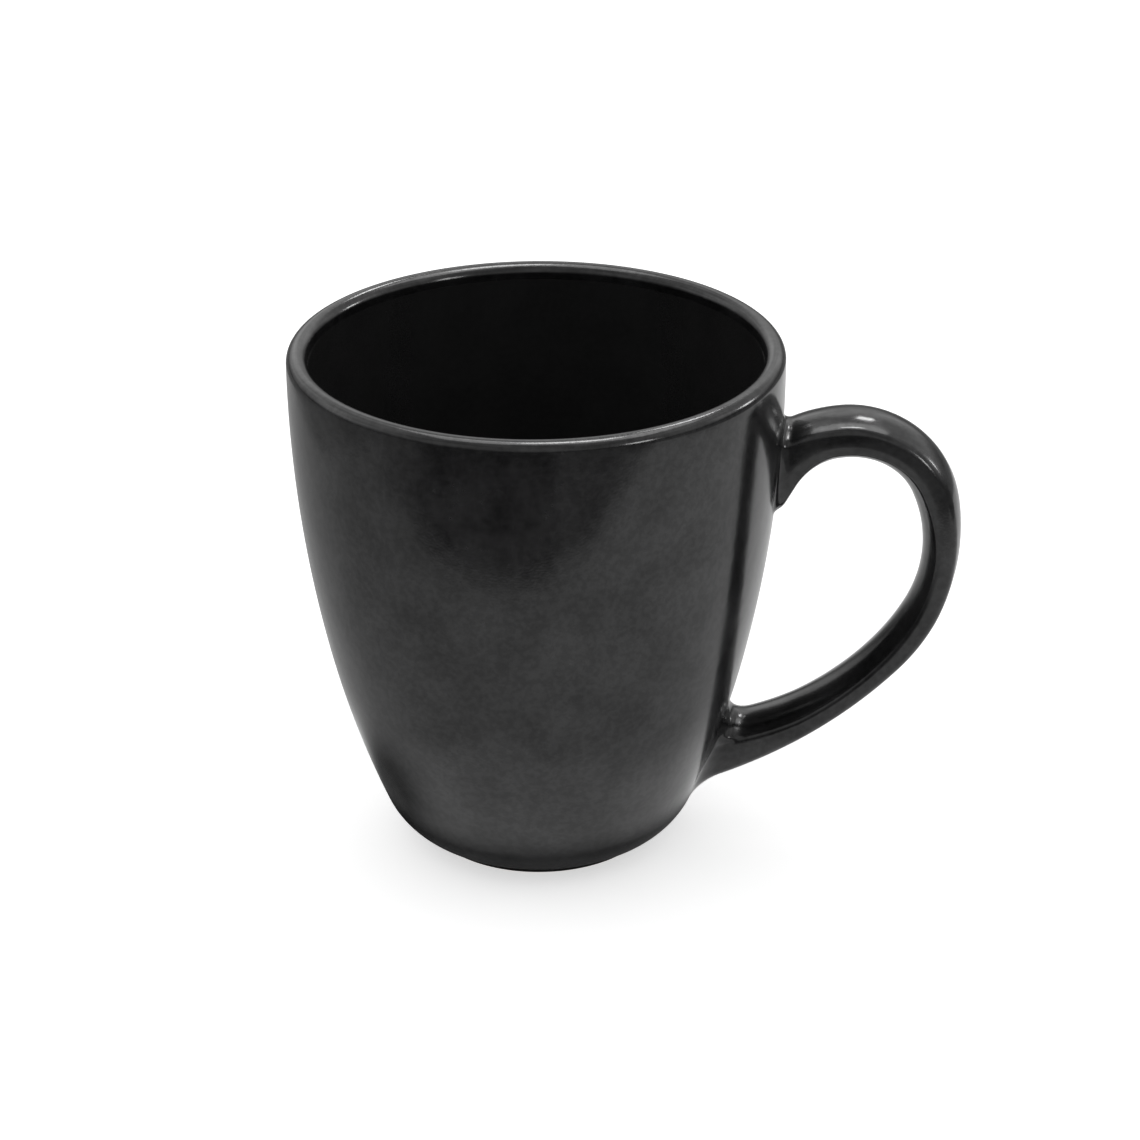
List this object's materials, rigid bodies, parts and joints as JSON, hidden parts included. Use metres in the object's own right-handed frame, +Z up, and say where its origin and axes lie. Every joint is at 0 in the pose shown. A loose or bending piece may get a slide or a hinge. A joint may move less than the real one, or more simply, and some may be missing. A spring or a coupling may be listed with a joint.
{
  "type": "ceramic mug",
  "caption": "Tapered round mug with rounded lip, small foot and side strap handle, glazed satin black outside and gloss black inside, for holding a hot drink.",
  "frame": {"origin": "middle of the foot ring's bearing plane, on the cup's axis", "axes": "+Z up along the cup's axis, +X from the axis towards the handle, whose mid-plane is XZ, and +Y across the handle"},
  "size_m": [0.1199, 0.088, 0.0952],
  "materials": {
    "fired_clay": "bare fired stoneware, matte, seen only on the foot ring and under the base",
    "fired_clay_handle": "bare fired stoneware, covered all over by the outside glaze",
    "fired_slip_upper": "fired joining slip, covered by the outside glaze",
    "fired_slip_lower": "fired joining slip, covered by the outside glaze",
    "satin_black_glaze": "satin gunmetal black glaze with fine pale speckle",
    "gloss_black_glaze": "smooth gloss black glaze"
  },
  "bodies": {
    "root": {"cup_body": "fired_clay", "handle": "fired_clay_handle", "upper_handle_joint": "fired_slip_upper", "lower_handle_joint": "fired_slip_lower", "exterior_glaze": "satin_black_glaze", "interior_glaze": "gloss_black_glaze"}
  },
  "joints": []
}
